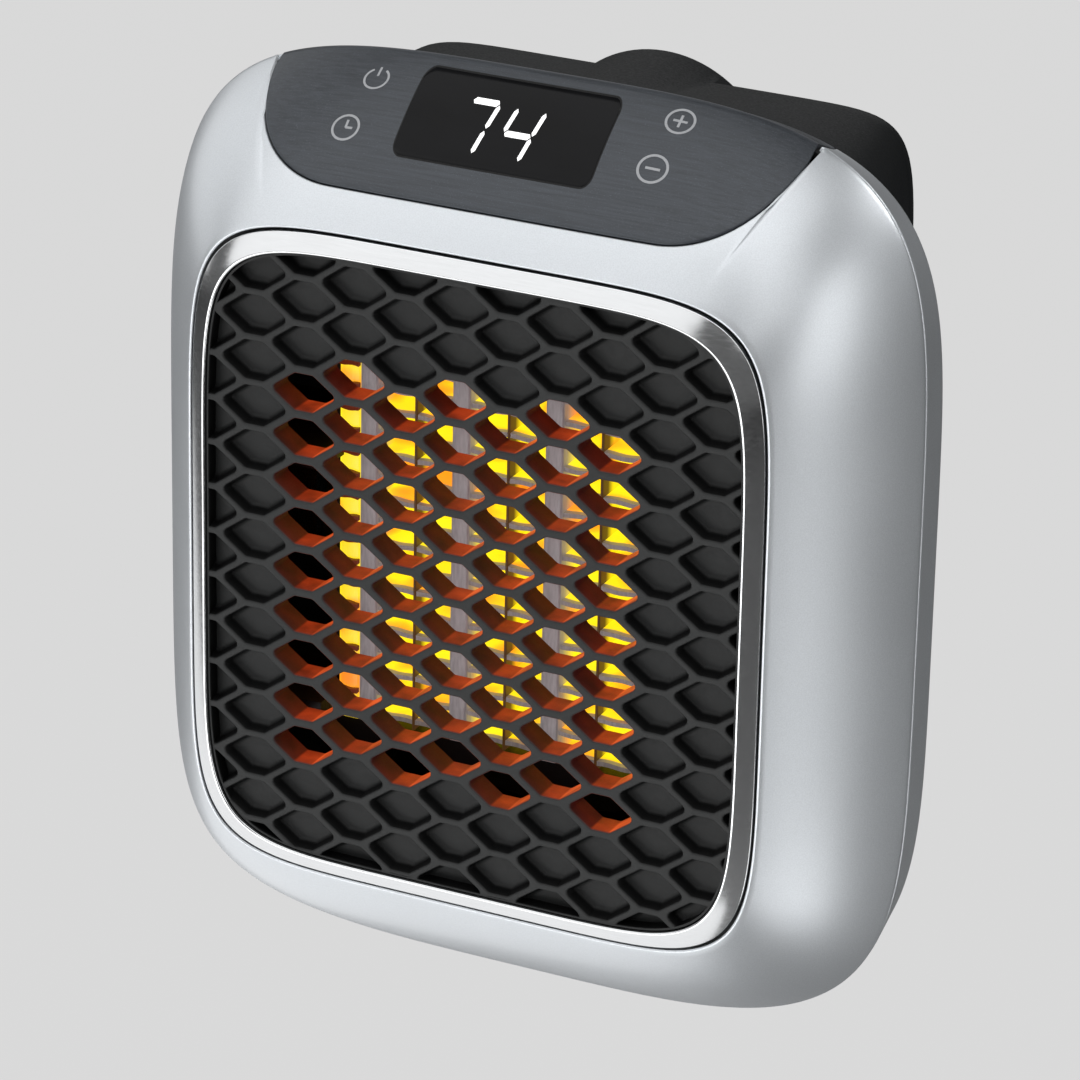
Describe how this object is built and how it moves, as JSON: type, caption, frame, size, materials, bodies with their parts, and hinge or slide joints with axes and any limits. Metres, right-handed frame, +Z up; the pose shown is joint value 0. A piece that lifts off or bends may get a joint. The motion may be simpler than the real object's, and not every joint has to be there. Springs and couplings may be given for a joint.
{
  "type": "plug-in ceramic fan heater",
  "caption": "Plug-in ceramic fan heater: crowned silver casing round a hexagon-lattice grille, a control panel on top, a tapered black rear casing and a turning wall plug.",
  "frame": {"origin": "centre of the plug's face, where it meets the wall plate", "axes": "+Y into the wall, -Y is the front, +Z is up"},
  "size_m": [0.1328, 0.0909, 0.1582],
  "materials": {
    "silver_paint": "satin silver paint",
    "charcoal_panel": "fine brushed charcoal",
    "display_gloss": "gloss black window",
    "satin_chrome": "satin chrome",
    "grille_black": "satin black",
    "bar_aluminium": "dull, over ceramic",
    "fin_aluminium": "bare",
    "frame_black": "matt",
    "cutout_metal": "plated",
    "housing_black": "matt black",
    "switch_black": "semi-gloss",
    "turret_black": "satin black",
    "blade_nickel": "nickel plated",
    "retainer_grey": "matt",
    "contact_brass": "bare brass",
    "carrier_white": "matt",
    "impeller_grey": "satin",
    "shaft_steel": "ground",
    "motor_steel": "zinc plated",
    "shroud_black": "matt",
    "bracket_steel": "zinc plated",
    "module_black": "gloss",
    "board_green": "solder mask",
    "spring_steel": "plated",
    "relay_blue": "semi-gloss",
    "capacitor_can": "bare can",
    "screw_steel": "zinc plated"
  },
  "bodies": {
    "plug": {"plug_turret": "turret_black", "blade_live": "blade_nickel", "blade_neutral": "blade_nickel"},
    "heater": {"front_shell": "silver_paint", "rear_shell": "silver_paint", "control_panel": "charcoal_panel", "display_window": "display_gloss", "trim_ring": "satin_chrome", "grille": "grille_black", "ceramic_bar_1": "bar_aluminium", "ceramic_bar_2": "bar_aluminium", "ceramic_bar_3": "bar_aluminium", "ceramic_bar_4": "bar_aluminium", "core_divider_1": "fin_aluminium", "core_divider_2": "fin_aluminium", "core_divider_3": "fin_aluminium", "fin_strip_1_left": "fin_aluminium", "fin_strip_1_right": "fin_aluminium", "fin_strip_2_left": "fin_aluminium", "fin_strip_2_right": "fin_aluminium", "fin_strip_3_left": "fin_aluminium", "fin_strip_3_right": "fin_aluminium", "heater_frame": "frame_black", "thermal_cutout": "cutout_metal", "rear_housing": "housing_black", "rocker_frame": "switch_black", "turret_retainer": "retainer_grey", "contact_ring_live": "contact_brass", "contact_ring_neutral": "contact_brass", "contact_carrier": "carrier_white", "fan_motor": "motor_steel", "fan_shroud": "shroud_black", "motor_bracket": "bracket_steel", "display_module": "module_black", "control_board": "board_green", "touch_spring_power": "spring_steel", "touch_spring_timer": "spring_steel", "touch_spring_plus": "spring_steel", "touch_spring_minus": "spring_steel", "power_board": "board_green", "power_relay": "relay_blue", "power_capacitor": "capacitor_can", "housing_screw_1": "screw_steel", "housing_screw_2": "screw_steel", "housing_screw_3": "screw_steel", "housing_screw_4": "screw_steel"},
    "fan_rotor": {"fan_impeller": "impeller_grey", "motor_shaft": "shaft_steel"},
    "rocker": {"rocker_cap": "switch_black"}
  },
  "joints": [
    {"name": "plug_turn", "type": "hinge", "parent": "plug", "child": "heater", "pos_m": [0, 0, 0], "axis": [0, 1, 0], "range_deg": [-90, 90]},
    {"name": "fan_spin", "type": "hinge", "parent": "heater", "child": "fan_rotor", "pos_m": [0, -0.0335, -0.057], "axis": [0, 1, 0], "continuous": true},
    {"name": "rocker_tilt", "type": "hinge", "parent": "heater", "child": "rocker", "pos_m": [-0.0574, -0.0252, -0.055], "axis": [0, 1, 0], "range_deg": [-18, 0]}
  ]
}
